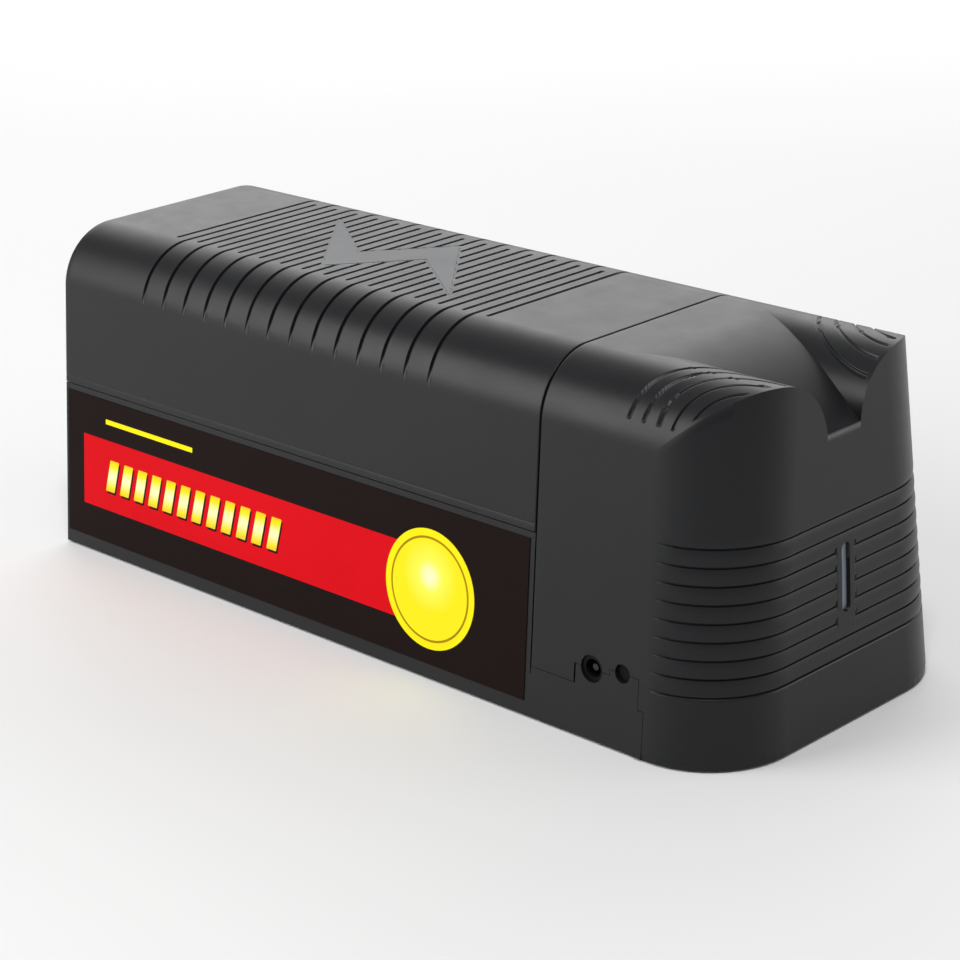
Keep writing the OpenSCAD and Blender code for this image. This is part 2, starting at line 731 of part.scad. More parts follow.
window_cz = (window_z0 + window_z1) / 2;
led_board_x = 133;
lens_inset = 1.2;      // the lens lies this far below the head's end face
module indicator_board() {
  color([0.05, 0.3, 0.14]) box(led_board_x - 1.4, led_board_x - touch, -8, 8, 30, 58);
}
module indicator_leds() {
  color([0.9, 0.9, 0.85]) for (dz = [-6, 6]) {
    box(led_board_x, led_board_x + 1, -1.6, 1.6, window_cz + dz - 1.6, window_cz + dz + 1.6);
    rod_x(led_board_x + 0.5, led_board_x + 1.8, 0, window_cz + dz, 1.2);
  }
}
module indicator_lens() {
  color([0.5, 0.55, 0.6, 0.8]) intersection() {
    along_x(led_board_x + 2.2, body_l / 2) window_slot(0);
    translate([end_x(window_cz, lens_inset), 0, window_cz]) rotate([0, -end_angle, 0])
      box(-8, 0, -5, 5, -20, 20);
  }
}

tray();
lid();
head_shell();
head_base();
bulkhead();
hinge_pins();
label();
bolt_inlay();
tray_baffles();
lid_baffles();
entry_plate();
middle_plate();
rear_plate();
plate_screws();
bait_cup();
bait_holder();
lid_magnet();
reed_switch();
battery_box();
battery_cells();
battery_contacts();
battery_door();
circuit_board();
board_screws();
transformer();
storage_capacitors();
board_chips();
lead_sockets();
plate_leads();
supply_leads();
socket_board();
dc_jack();
jack_pin();
button_switch();
power_button();
indicator_board();
indicator_leds();
indicator_lens();
case_screws();
rubber_feet();
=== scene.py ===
"""Looks of an electronic rat trap: moulded black skins, printed sticker, steel inside, studio light."""

import math

import bpy
import numpy as np
from mathutils import Matrix, Vector


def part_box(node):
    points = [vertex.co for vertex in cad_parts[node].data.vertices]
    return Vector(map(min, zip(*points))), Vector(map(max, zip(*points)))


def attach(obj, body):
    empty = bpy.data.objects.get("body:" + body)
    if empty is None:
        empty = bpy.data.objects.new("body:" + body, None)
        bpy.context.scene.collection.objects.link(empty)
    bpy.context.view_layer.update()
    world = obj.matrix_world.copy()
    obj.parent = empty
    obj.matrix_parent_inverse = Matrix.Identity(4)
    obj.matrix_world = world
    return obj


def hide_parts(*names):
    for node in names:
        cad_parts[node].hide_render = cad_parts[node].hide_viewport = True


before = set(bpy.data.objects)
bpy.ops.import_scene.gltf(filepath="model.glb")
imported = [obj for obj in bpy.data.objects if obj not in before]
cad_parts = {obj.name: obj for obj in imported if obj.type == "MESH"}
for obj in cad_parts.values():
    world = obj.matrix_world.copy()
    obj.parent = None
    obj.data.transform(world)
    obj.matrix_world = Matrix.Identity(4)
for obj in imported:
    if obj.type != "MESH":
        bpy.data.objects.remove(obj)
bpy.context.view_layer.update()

# ---------------------------------------------------------------- sizes, in millimetres
MM = 0.001
WALL = 2.2
SIDE_DRAFT = 0.092
END_DRAFT = 0.035
TOP_R = 19.5
CORNER_R = 26.8
HUMP_R = 19.4
HUMP_FLOOR = 7.2
RAMP_X = 88.0
RAMP_R = 77.0
SEAM_GAP = 0.3
EDGE_R = 0.5

SIDE_LEAN = math.sqrt(1 + SIDE_DRAFT ** 2)
END_LEAN = math.sqrt(1 + END_DRAFT ** 2)


def box_mm(node):
    """Lowest and highest corner of a CAD node, in millimetres."""
    lo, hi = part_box(node)
    return np.array(lo) / MM, np.array(hi) / MM


LID_LO, LID_HI = box_mm("lid")
SHELL_LO = box_mm("head_shell")[0]
LABEL_LO, LABEL_HI = box_mm("label")
INLAY_LO, INLAY_HI = box_mm("bolt_inlay")
TOP_Z = float(LID_HI[2])
HALF_L = -float(LID_LO[0])
LABEL_TO_SEAM = 1.95
TRAY_Z = float(LABEL_HI[2]) + LABEL_TO_SEAM
SEAM_Z = TRAY_Z + SEAM_GAP / 2
LID_Z = SEAM_Z + SEAM_GAP / 2
BASE_HALF = 55.0
TOP_CZ = TOP_Z - TOP_R
TOP_CY = BASE_HALF - SIDE_DRAFT * TOP_CZ - TOP_R * SIDE_LEAN
SIDE_ANGLE = math.atan(SIDE_DRAFT)
HUMP_CY = HUMP_FLOOR + HUMP_R
HUMP_CZ = TOP_Z - HUMP_R


def side_y(z, inset=0.0):
    """Half width of the body at a height, inset from its skin."""
    return BASE_HALF - SIDE_DRAFT * z - inset * SIDE_LEAN


def end_x(z, inset=0.0):
    """Place of the head's end face at a height, inset from its skin."""
    return HALF_L - END_DRAFT * z - inset * END_LEAN


def smooth(t):
    """Smooth step from 0 to 1 as t goes from 0 to 1."""
    t = np.clip(t, 0, 1)
    return t * t * (3 - 2 * t)


# ---------------------------------------------------------------- camera
VIEW_AZIMUTH = math.radians(44.871)
VIEW_ELEVATION = math.radians(20.358)
VIEW_ROLL = math.radians(-1.829)
VIEW_DISTANCE = 0.8358
VIEW_TARGET = Vector((-0.0007, 0.0, 0.0389))
VIEW_LENS = 102.4


def make_camera():
    """The photograph's view: a long lens from the front right, slightly above, with a little roll."""
    data = bpy.data.cameras.new("view_camera")
    data.lens = VIEW_LENS
    data.sensor_width = 36.0
    data.clip_start = 0.02
    data.clip_end = 50.0
    camera = bpy.data.objects.new("view_camera", data)
    bpy.context.scene.collection.objects.link(camera)
    back = Vector((math.sin(VIEW_AZIMUTH) * math.cos(VIEW_ELEVATION),
                   -math.cos(VIEW_AZIMUTH) * math.cos(VIEW_ELEVATION),
                   math.sin(VIEW_ELEVATION)))
    right = (-back).cross(Vector((0, 0, 1))).normalized()
    up = right.cross(-back)
    turned_right = right * math.cos(VIEW_ROLL) + up * math.sin(VIEW_ROLL)
    turned_up = up * math.cos(VIEW_ROLL) - right * math.sin(VIEW_ROLL)
    place = VIEW_TARGET + back * VIEW_DISTANCE
    turn = Matrix((turned_right, turned_up, back)).transposed().to_4x4()
    camera.matrix_world = Matrix.Translation(place) @ turn
    bpy.context.scene.camera = camera


make_camera()


# ---------------------------------------------------------------- materials
def new_material(name):
    """An empty node material with its Principled shader."""
    material = bpy.data.materials.new(name)
    material.use_nodes = True
    return material, material.node_tree, material.node_tree.nodes["Principled BSDF"]


def place_node(tree):
    """Object coordinates, so that a grain has its real size and stays on its piece."""
    return tree.nodes.new("ShaderNodeTexCoord").outputs["Object"]


def noise(tree, place, scale, detail=3.0, roughness=0.6):
    """A noise whose features are 1 / scale metres across."""
    node = tree.nodes.new("ShaderNodeTexNoise")
    node.inputs["Scale"].default_value = scale
    node.inputs["Detail"].default_value = detail
    node.inputs["Roughness"].default_value = roughness
    tree.links.new(place, node.inputs["Vector"])
    return node.outputs["Fac"]


def ramp(tree, value, stops):
    """A colour ramp over a value, from (position, colour) stops."""
    node = tree.nodes.new("ShaderNodeValToRGB")
    elements = node.color_ramp.elements
    while len(elements) < len(stops):
        elements.new(0.5)
    for element, (position, colour) in zip(elements, stops):
        element.position = position
        element.color = (*colour, 1.0)
    tree.links.new(value, node.inputs["Fac"])
    return node.outputs["Color"]


def grey(value):
    """A neutral colour."""
    return (value, value, value)


def bump(tree, height, strength, distance, normal=None):
    """A bump of a real depth, in metres."""
    node = tree.nodes.new("ShaderNodeBump")
    node.inputs["Strength"].default_value = strength
    node.inputs["Distance"].default_value = distance
    tree.links.new(height, node.inputs["Height"])
    if normal is not None:
        tree.links.new(normal, node.inputs["Normal"])
    return node.outputs["Normal"]


def plastic(name, dark, light, rough, rough_spread, grain, depth, specular=0.5):
    """Moulded plastic: slight colour drift, a sparked grain, and roughness that varies a little."""
    material, tree, shader = new_material(name)
    place = place_node(tree)
    drift = noise(tree, place, 28.0, 4.0)
    tree.links.new(ramp(tree, drift, [(0.3, dark), (0.7, light)]), shader.inputs["Base Color"])
    wear = noise(tree, place, 95.0, 5.0, 0.7)
    spread = [(0.3, grey(rough - rough_spread)), (0.7, grey(rough + rough_spread))]
    tree.links.new(ramp(tree, wear, spread), shader.inputs["Roughness"])
    coarse = bump(tree, noise(tree, place, grain * 0.35, 2.0), 0.35, depth)
    fine = bump(tree, noise(tree, place, grain, 2.0), 0.6, depth, coarse)
    tree.links.new(fine, shader.inputs["Normal"])
    shader.inputs["Specular IOR Level"].default_value = specular
    return material


def brushed_metal(name, colour, rough, along="X", brush=900.0, depth=0.00001):
    """Rolled or brushed metal: long fine scratches along one axis."""
    material, tree, shader = new_material(name)
    place = place_node(tree)
    stretch = tree.nodes.new("ShaderNodeMapping")
    squeeze = {"X": (0.03, 1, 1), "Y": (1, 0.03, 1), "Z": (1, 1, 0.03)}[along]
    stretch.inputs["Scale"].default_value = squeeze
    tree.links.new(place, stretch.inputs["Vector"])
    lines = noise(tree, stretch.outputs["Vector"], brush, 4.0, 0.7)
    darker = tuple(c * 0.82 for c in colour)
    tree.links.new(ramp(tree, lines, [(0.3, darker), (0.7, colour)]), shader.inputs["Base Color"])
    tree.links.new(ramp(tree, lines, [(0.2, grey(rough - 0.08)), (0.8, grey(rough + 0.1))]),
                   shader.inputs["Roughness"])
    tree.links.new(bump(tree, lines, 0.5, depth), shader.inputs["Normal"])
    shader.inputs["Metallic"].default_value = 1.0
    return material


# roughness, its spread, grains per metre, grain depth in metres, specular level
SATIN = (0.36, 0.03, 5200.0, 0.000014, 0.26)
MATTE = (0.66, 0.03, 4200.0, 0.00004, 0.3)
INK = (0.5, 0.03, 2500.0, 0.000004, 0.05)
SOCKET_MATTE = (0.6, 0.05, 3000.0, 0.00002, 0.1)
CASE = plastic("case_plastic", (0.0062, 0.0065, 0.0076), (0.0078, 0.0082, 0.0094), *SATIN)
INLAY = plastic("inlay_plastic", (0.17, 0.173, 0.178), (0.195, 0.198, 0.204), *MATTE)
INNER = plastic("inner_plastic", (0.03, 0.03, 0.032), (0.036, 0.036, 0.04), 0.55, 0.04, 3000.0, 0.00003)
LABEL_FILM = plastic("label_film", (0.0085, 0.0038, 0.0032), (0.01, 0.0046, 0.0039), *INK)
PRINT_RED = plastic("print_red", (0.60, 0.001, 0.006), (0.65, 0.0014, 0.0075), *INK)
PRINT_YELLOW = plastic("print_yellow", (0.86, 0.74, 0.005), (0.92, 0.80, 0.008), *INK)
PRINT_AMBER = plastic("print_amber", (0.34, 0.2, 0.004), (0.38, 0.23, 0.006), *INK)
PRINT_BLACK = plastic("print_black", (0.007, 0.0035, 0.003), (0.009, 0.0045, 0.004), *INK)
CUP = plastic("cup_plastic", (0.40, 0.02, 0.015), (0.47, 0.028, 0.02), 0.3, 0.04, 1800.0, 0.00001)
BOARD = plastic("board_green", (0.006, 0.07, 0.022), (0.01, 0.10, 0.034), 0.3, 0.05, 1500.0, 0.00001)
CELL = plastic("cell_wrap", (0.08, 0.09, 0.11), (0.11, 0.12, 0.14), 0.25, 0.04, 700.0, 0.00001)
CORE = plastic("core_ferrite", (0.045, 0.037, 0.03), (0.07, 0.058, 0.048), 0.6, 0.06, 2400.0, 0.00003)
SLEEVE = plastic("capacitor_sleeve", (0.015, 0.03, 0.13), (0.022, 0.045, 0.18), 0.28, 0.04, 900.0, 0.00001)
CHIP = plastic("chip_black", (0.012, 0.012, 0.012), (0.018, 0.018, 0.018), 0.42, 0.05, 4000.0, 0.00002)
SOCKET = plastic("socket_black", (0.003, 0.003, 0.0035), (0.0045, 0.0045, 0.005), *SOCKET_MATTE)
NYLON = plastic("socket_nylon", (0.68, 0.65, 0.55), (0.78, 0.75, 0.66), 0.45, 0.05, 2000.0, 0.00001)
LEAD_RED = plastic("lead_red", (0.42, 0.012, 0.01), (0.52, 0.02, 0.014), 0.4, 0.05, 1500.0, 0.00001)
LEAD_BLACK = plastic("lead_black", (0.012, 0.012, 0.012), (0.02, 0.02, 0.02), 0.42, 0.05, 1500.0, 0.00001)
RUBBER = plastic("foot_rubber", (0.014, 0.014, 0.014), (0.022, 0.022, 0.022), 0.8, 0.06, 2600.0, 0.00005, 0.3)
LED = plastic("led_clear", (0.75, 0.75, 0.7), (0.82, 0.82, 0.77), 0.15, 0.03, 900.0, 0.000005)
GLASS_TUBE = plastic("glass_tube", (0.08, 0.22, 0.10), (0.11, 0.27, 0.13), 0.12, 0.03, 900.0, 0.000005)
LENS = plastic("lens_smoke", (0.17, 0.205, 0.245), (0.19, 0.225, 0.265), 0.3, 0.03, 1500.0, 0.00001)
STEEL = brushed_metal("plate_steel", (0.6, 0.6, 0.585), 0.3)
SCREW = brushed_metal("screw_steel", (0.46, 0.46, 0.47), 0.34)
MAGNET = brushed_metal("magnet_metal", (0.7, 0.69, 0.66), 0.16)
NICKEL = brushed_metal("pin_nickel", (0.06, 0.058, 0.055), 0.45, "Y")
BRASS = brushed_metal("contact_brass", (0.78, 0.58, 0.28), 0.25, "Y")

NODE_LOOKS = [
    (CASE, ["tray", "lid", "head_shell", "head_base", "battery_door"]),
    (INLAY, ["bolt_inlay"]),
    (INNER, ["bulkhead", "tray_baffles", "lid_baffles", "bait_holder", "battery_box"]),
    (LABEL_FILM, ["label"]),
    (CUP, ["bait_cup"]),
    (STEEL, ["entry_plate", "middle_plate", "rear_plate"]),
    (SCREW, ["plate_screws", "board_screws", "case_screws", "hinge_pins"]),
    (MAGNET, ["lid_magnet"]),
    (GLASS_TUBE, ["reed_switch"]),
    (BOARD, ["circuit_board", "socket_board", "indicator_board"]),
    (CELL, ["battery_cells"]),
    (BRASS, ["battery_contacts"]),
    (NICKEL, ["jack_pin"]),
    (CORE, ["transformer"]),
    (SLEEVE, ["storage_capacitors"]),
    (CHIP, ["board_chips", "button_switch"]),
    (SOCKET, ["dc_jack", "power_button"]),
    (NYLON, ["lead_sockets"]),
    (LEAD_RED, ["plate_leads"]),
    (LEAD_BLACK, ["supply_leads"]),
    (LED, ["indicator_leds"]),
    (LENS, ["indicator_lens"]),
    (RUBBER, ["rubber_feet"]),
]


def dress_nodes():
    """Gives every CAD node its material."""
    for material, names in NODE_LOOKS:
        for name in names:
            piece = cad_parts[name]
            piece.data.materials.clear()
            piece.data.materials.append(material)


dress_nodes()


# ---------------------------------------------------------------- meshes
def add_piece(name, points, faces, material, body, sharp=38):
    """A mesh piece in the part's own frame, from points in millimetres."""
    mesh = bpy.data.meshes.new(name)
    mesh.from_pydata((np.asarray(points, float) * MM).tolist(), [], [list(f) for f in faces])
    mesh.validate()
    mesh.update()
    mesh.shade_smooth()
    mesh.set_sharp_from_angle(angle=math.radians(sharp))
    mesh.materials.append(material)
    piece = bpy.data.objects.new(name, mesh)
    bpy.context.scene.collection.objects.link(piece)
    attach(piece, body)
    return piece


def grid_quads(index, keep=None):
    """Quads over a grid of point numbers, without the cells that keep leaves out."""
    quads = np.stack([index[:-1, :-1], index[1:, :-1], index[1:, 1:], index[:-1, 1:]], -1)
    if keep is not None:
        return quads[keep]
    return quads.reshape(-1, 4)


def thick_shell(outer, inner, quads):
    """Points and faces of a closed shell: outer quads, the same quads inside, and walls along every rim."""
    count = len(outer)
    edges = np.concatenate([quads[:, [0, 1]], quads[:, [1, 2]], quads[:, [2, 3]], quads[:, [3, 0]]])
    key = edges.min(1).astype(np.int64) * count + edges.max(1)
    _, first, times = np.unique(key, return_index=True, return_counts=True)
    rim = edges[first[times == 1]]
    walls = np.stack([rim[:, 1], rim[:, 0], rim[:, 0] + count, rim[:, 1] + count], 1)
    faces = np.concatenate([quads, quads[:, ::-1] + count, walls])
    points = np.concatenate([outer, inner])
    used = np.zeros(len(points), bool)
    used[faces.ravel()] = True
    renumber = np.cumsum(used) - 1
    return points[used], renumber[faces]


def grid_normals(grid):
    """Unit normals of a grid of points, from its two directions."""
    along = np.gradient(grid, axis=0)
    across = np.gradient(grid, axis=1)
    normal = np.cross(along, across)
    return normal / np.maximum(np.linalg.norm(normal, axis=2, keepdims=True), 1e-9)


def drop_edge(distance, radius):
    """How far a surface falls towards a rounded edge, at a distance from that edge."""
    t = np.clip(radius - distance, 0, radius)
    return radius - np.sqrt(np.maximum(radius ** 2 - t ** 2, 0))


def merge_steps(*lists):
    """One sorted list of places, without near doubles."""
    values = np.sort(np.concatenate([np.atleast_1d(np.asarray(v, float)) for v in lists]))
    keep = np.concatenate([[True], np.diff(values) > 0.02])
    return values[keep]


def mirror_columns(y, z):
    """Near half of a section, and its mirror image on the far side, as one run of columns."""
    return np.concatenate([-y, y[::-1][1:]]), np.concatenate([z, z[::-1][1:]])


# ---------------------------------------------------------------- lid
GROOVE_COUNT = 29
GROOVE_PITCH = 4.871
GROOVE_X0 = -104.8
GROOVE_W = 1.5
GROOVE_D = 0.8
SHORT_HALF = 27.5
BOLT_POINTS = [(-44, 19.2), (-11.2, -3.8), (9.1, 20.4), (44, -19.2), (11.2, 3.8), (-9.1, -20.4)]
BOLT_X = float(INLAY_LO[0] + INLAY_HI[0]) / 2
ARCH_R = 31.0
ARCH_TOP = 76.0
HINGE_STARTS = [-112.0, 18.0]
HINGE_LENGTH = 30.0
KNUCKLE_LENGTH = 8.0
HINGE_Y = 51.6
HINGE_R = 2.7
NOTCH_Z = SEAM_Z + HINGE_R + 0.55
KNUCKLE_ROOM = 0.2
BEAD_Z = 57.0
BEAD_D = 0.1
BOLT_MARGIN = 0.7
BOLT_RIM_D = 0.1
BOLT_RECESS_D = 0.75
GROOVE_FADE_Z = 86.5
GROOVE_FADE = 7.0
KNUCKLE_SPANS = [(-KNUCKLE_ROOM, KNUCKLE_LENGTH + KNUCKLE_ROOM),
                 (HINGE_LENGTH - KNUCKLE_LENGTH - KNUCKLE_ROOM, HINGE_LENGTH + KNUCKLE_ROOM)]


def outline_distance(x, y, points):
    """Signed distance to a closed outline, positive outside."""
    best = np.full(np.broadcast(x, y).shape, 1e9)
    inside = np.zeros(best.shape, bool)
    for (ax, ay), (bx, by) in zip(points, points[1:] + points[:1]):
        ex, ey = bx - ax, by - ay
        t = np.clip(((x - ax) * ex + (y - ay) * ey) / (ex * ex + ey * ey), 0, 1)
        best = np.minimum(best, np.hypot(x - ax - t * ex, y - ay - t * ey))
        crosses = ((ay > y) != (by > y)) & (x < ax + (y - ay) * ex / (ey if ey else 1e-9))
        inside ^= crosses
    return np.where(inside, -best, best)


def groove_depth(x, y, z):
    """Depth of the lid's cross grooves at points of its skin."""
    bolt = outline_distance(x - BOLT_X, y, BOLT_POINTS)
    depth = np.zeros(x.shape)
    around = np.where(z < TOP_Z - 0.01, 0.0, 1.0)
    for i in range(GROOVE_COUNT):
        dx = np.abs(x - (GROOVE_X0 + i * GROOVE_PITCH))
        # a groove stops short of one long edge and runs down over the other, turn and turn about
        short_y = -y if i % 2 == 0 else y
        ends = np.maximum(short_y - (SHORT_HALF - GROOVE_W / 2), 0)
        away = np.hypot(dx, ends) - GROOVE_W / 2
        reach = smooth((z - GROOVE_FADE_Z) / GROOVE_FADE)
        away = np.maximum(away, np.where(around > 0, BOLT_MARGIN - bolt, -9.0))
        depth = np.maximum(depth, GROOVE_D * reach * smooth(-away / 0.3))
    depth = depth + BEAD_D * smooth((0.35 - np.abs(z - BEAD_Z)) / 0.3)
    rim = BOLT_RIM_D * smooth((0.9 - bolt) / 0.5) * around
    recess = BOLT_RECESS_D * smooth((-0.35 - bolt) / 0.3) * around
    return depth + rim + recess


def lid_section(inset, wall_z):
    """(y, z) columns of the lid's section, from the near seam over the top to the far seam."""
    angles = np.linspace(SIDE_ANGLE, math.pi / 2, 44)
    tangent_z = TOP_CZ + (TOP_R - inset) * math.sin(SIDE_ANGLE)
    z_wall = wall_z + (tangent_z - (TOP_CZ + TOP_R * math.sin(SIDE_ANGLE))) * smooth((wall_z - 70) / 16)
    y_wall = side_y(z_wall, inset)
    y_arc = TOP_CY + (TOP_R - inset) * np.cos(angles[1:])
    z_arc = TOP_CZ + (TOP_R - inset) * np.sin(angles[1:])
    y_flat = np.linspace(TOP_CY, 0, 84)[1:]
    z_flat = np.full(len(y_flat), TOP_Z - inset)
    return mirror_columns(np.concatenate([y_wall, y_arc, y_flat]), np.concatenate([z_wall, z_arc, z_flat]))


def arch_columns(count):
    """The entrance arch above the seam, from its near foot over its top to its far foot."""
    foot = math.asin((LID_Z - (ARCH_TOP - ARCH_R)) / ARCH_R)
    angles = np.linspace(foot, math.pi - foot, count)
    return -ARCH_R * np.cos(angles), ARCH_TOP - ARCH_R + ARCH_R * np.sin(angles)


def make_lid():
    """The lid: an arched end wall that runs on into a long ribbed tunnel roof, one closed shell."""
    tangent_z = TOP_CZ + TOP_R * math.sin(SIDE_ANGLE)
    wall_z = merge_steps(LID_Z + np.array([0, 0.08, 0.2, 0.4]), NOTCH_Z,
                         BEAD_Z + np.array([-0.4, -0.2, 0, 0.2, 0.4]), np.linspace(62, 84, 8), tangent_z)
    y_out, z_out = lid_section(0.0, wall_z)
    y_in, z_in = lid_section(WALL, wall_z)
    profile = np.array([-1.0, -0.76, -0.66, -0.56, -0.44, 0, 0.44, 0.56, 0.66, 0.76, 1.0])
    grooves = (GROOVE_X0 + GROOVE_PITCH * np.arange(GROOVE_COUNT)[:, None] + profile[None, :]).ravel()
    bolt_tips = BOLT_X + np.linspace(-46, 46, 93)
    knuckles = [x0 + d for x0 in HINGE_STARTS for span in KNUCKLE_SPANS for d in span]
    seam_end = float(LID_HI[0])
    round_in = EDGE_R * 2 * (1 - np.cos(np.linspace(0, math.pi / 2, 6)))
    xs = merge_steps(-HALF_L + round_in, grooves, bolt_tips, knuckles, np.linspace(-137, seam_end - 1, 30),
                     seam_end - np.array([0.4, 0.2, 0.08, 0]))
    columns = len(y_out)
    arch_y, arch_z = arch_columns(columns)
    # end wall, from the arch outwards
    share = np.linspace(0, 1, 8)[:-1, None]
    radius = 2 * EDGE_R
    frame_y, frame_z = lid_section(radius, wall_z)
    frame_z = np.maximum(frame_z, LID_Z)
    end_out = np.stack([np.full((7, columns), -HALF_L), arch_y + (frame_y - arch_y) * share,
                        arch_z + (frame_z - arch_z) * share], -1)
    end_in = np.stack([np.full((7, columns), -HALF_L + WALL), arch_y + (y_in - arch_y) * share,
                       arch_z + (z_in - arch_z) * share], -1)
    body_out = np.stack(np.broadcast_arrays(xs[:, None], y_out[None, :], z_out[None, :]), -1).astype(float)
    fall = groove_depth(body_out[..., 0], body_out[..., 1], body_out[..., 2])
    fall = fall + drop_edge(xs + HALF_L, radius)[:, None]
    fall = fall + drop_edge(seam_end - xs, 0.3)[:, None]
    fall = fall + drop_edge(np.abs(z_out - LID_Z), 0.25)[None, :] * (z_out < 56)[None, :]
    normal = section_normals(y_out, z_out)
    body_out[..., 1] -= fall * normal[None, :, 0]
    body_out[..., 2] -= fall * normal[None, :, 1] * np.where(z_out > LID_Z + 0.01, 1, 0)[None, :]
    inner_x = -HALF_L + WALL + (xs + HALF_L) * (seam_end + HALF_L - WALL) / (seam_end + HALF_L)
    body_in = np.stack(np.broadcast_arrays(inner_x[:, None], y_in[None, :], z_in[None, :]), -1).astype(float)
    outer = np.concatenate([end_out, body_out])
    inner = np.concatenate([end_in, body_in])
    rows = len(outer)
    index = np.arange(rows * columns).reshape(rows, columns)
    keep = np.ones((rows - 1, columns - 1), bool)
    x_mid = (outer[:-1, :-1, 0] + outer[1:, :-1, 0]) / 2
    z_mid = (outer[:-1, :-1, 2] + outer[:-1, 1:, 2]) / 2
    y_mid = (outer[:-1, :-1, 1] + outer[:-1, 1:, 1]) / 2
    for x0 in HINGE_STARTS:
        for a, b in KNUCKLE_SPANS:
            keep &= ~((x_mid > x0 + a) & (x_mid < x0 + b) & (y_mid > 0) & (z_mid < NOTCH_Z))
    points, faces = thick_shell(outer.reshape(-1, 3), inner.reshape(-1, 3), grid_quads(index, keep))
    piece = add_piece("lid_moulding", points, faces[:, ::-1], CASE, "lid")
    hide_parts("lid")


def section_normals(y, z):
    """Outward (y, z) normals along a run of section columns."""
    dy, dz = np.gradient(y), np.gradient(z)
    length = np.hypot(dy, dz)
    return np.stack([-dz / length, dy / length], -1)


def make_lid_knuckles():
    """The lid's two hinge knuckles, each one rounded lug with a web up the lid's wall."""
    turn = np.linspace(-math.pi * 0.55, math.pi * 0.42, 26)
    lug = [(HINGE_Y + HINGE_R * math.cos(a), SEAM_Z + HINGE_R * math.sin(a)) for a in turn]
    lug += [(side_y(66.0) + 0.05, 66.0), (side_y(66.0) - 0.4, 66.0), (side_y(LID_Z) - 0.9, LID_Z + 0.3)]
    lug += [(HINGE_Y - HINGE_R * 0.85, SEAM_Z - HINGE_R * 0.35)]
    points, faces = [], []
    for x0 in HINGE_STARTS:
        base = len(points)
        a = x0 + KNUCKLE_LENGTH + SEAM_GAP
        b = x0 + HINGE_LENGTH - KNUCKLE_LENGTH - SEAM_GAP
        n = len(lug)
        points += [(a, y, z) for y, z in lug] + [(b, y, z) for y, z in lug]
        faces += [[base + i for i in range(n)][::-1], [base + n + i for i in range(n)]]
        faces += [[base + i, base + (i + 1) % n, base + n + (i + 1) % n, base + n + i] for i in range(n)]
    add_piece("lid_knuckles", points, faces, CASE, "lid")


# ---------------------------------------------------------------- head shell
RING_Z0 = 21.2
RING_PITCH = 5.13
RING_COUNT = 9
RING_W = 0.8
RING_D = 0.85
GRIP_X = 137.0
GRIP_Y = 49.0
GRIP_R0 = 37.0
GRIP_PITCH = 5.0
GRIP_W = 1.15
GRIP_D = 0.55
GRIP_COUNT = 5
GRIP_END_GAP = 1.5
GRIP_SIDE_Y = 45.2
GRIP_FROM = 90
RING_STOP_Y = 3.9
RING_FADE_X = 112.6
RING_FADE = 6.5
PILLOW_D = 0.3
END_FROM_X = 125
WINDOW_D = 1.6
WINDOW_Z0 = 34.0
WINDOW_Z1 = 53.8
WINDOW_HALF = 1.6
PART_Z = [14.35, 15.85, 21.45, 23.15]
PART_X = [86.75, 99.15, 109.75, 111.85]
TAB_GAP = 0.45


def ramp_z(x, inset=0.0):
    """Height of the ramp that runs down the valley."""
    run = np.maximum(x - RAMP_X, 0)
    return TOP_Z - RAMP_R + np.sqrt(np.maximum((RAMP_R - inset) ** 2 - run ** 2, 1.0))


def valley_angle(x, inset=0.0):
    """Angle on the round shoulder where the ramp meets it."""
    rise = np.clip((ramp_z(x, inset) - HUMP_CZ) / (HUMP_R - inset), -1, 1)
    return np.arcsin(rise)


def plan_x(y, z, inset=0.0):
    """Place of the head's end surface, with its rounded upright corners."""
    r = CORNER_R - inset
    cy = side_y(z, inset) - r
    over = np.clip(np.abs(y) - cy, 0, r)
    return end_x(z, inset) - r + np.sqrt(np.maximum(r * r - over * over, 0))


def top_columns(x, share, kind, inset):
    """(y, z) on the near half of the head's top at x: outer arc, hump and valley floor."""
    angle = valley_angle(x, inset)
    outer = SIDE_ANGLE + (math.pi / 2 - SIDE_ANGLE) * share
    inner = math.pi / 2 + (angle - math.pi / 2) * share
    crease_y = HUMP_CY - (HUMP_R - inset) * np.cos(angle)
    on_arc, on_hump = kind == 0, kind == 1
    arc_y, arc_z = TOP_CY + (TOP_R - inset) * np.cos(outer), TOP_CZ + (TOP_R - inset) * np.sin(outer)
    hump_y, hump_z = HUMP_CY - (HUMP_R - inset) * np.cos(inner), HUMP_CZ + (HUMP_R - inset) * np.sin(inner)
    y = np.select([on_arc, on_hump], [arc_y, hump_y], crease_y * (1 - share))
    z = np.select([on_arc, on_hump], [arc_z, hump_z], ramp_z(x, inset) + 0 * share)
    return y, z


def grip_depth(p):
    """Depth of the finger grooves on the two shoulders."""
    radius = np.hypot(p[..., 0] - GRIP_X, np.abs(p[..., 1]) - GRIP_Y)
    depth = np.zeros(radius.shape)
    # each groove stops short of the side and of the end edge
    from_end = plan_x(p[..., 1], p[..., 2]) - GRIP_END_GAP - p[..., 0]
    from_side = GRIP_SIDE_Y - np.abs(p[..., 1])
    for i in range(GRIP_COUNT):
        away = np.abs(radius - (GRIP_R0 - i * GRIP_PITCH)) - GRIP_W / 2
        away = np.maximum(away, np.maximum(-from_end, -from_side))
        depth = np.maximum(depth, GRIP_D * smooth(-away / 0.34))
    return depth * (p[..., 2] > GRIP_FROM) * (p[..., 0] > GRIP_FROM)


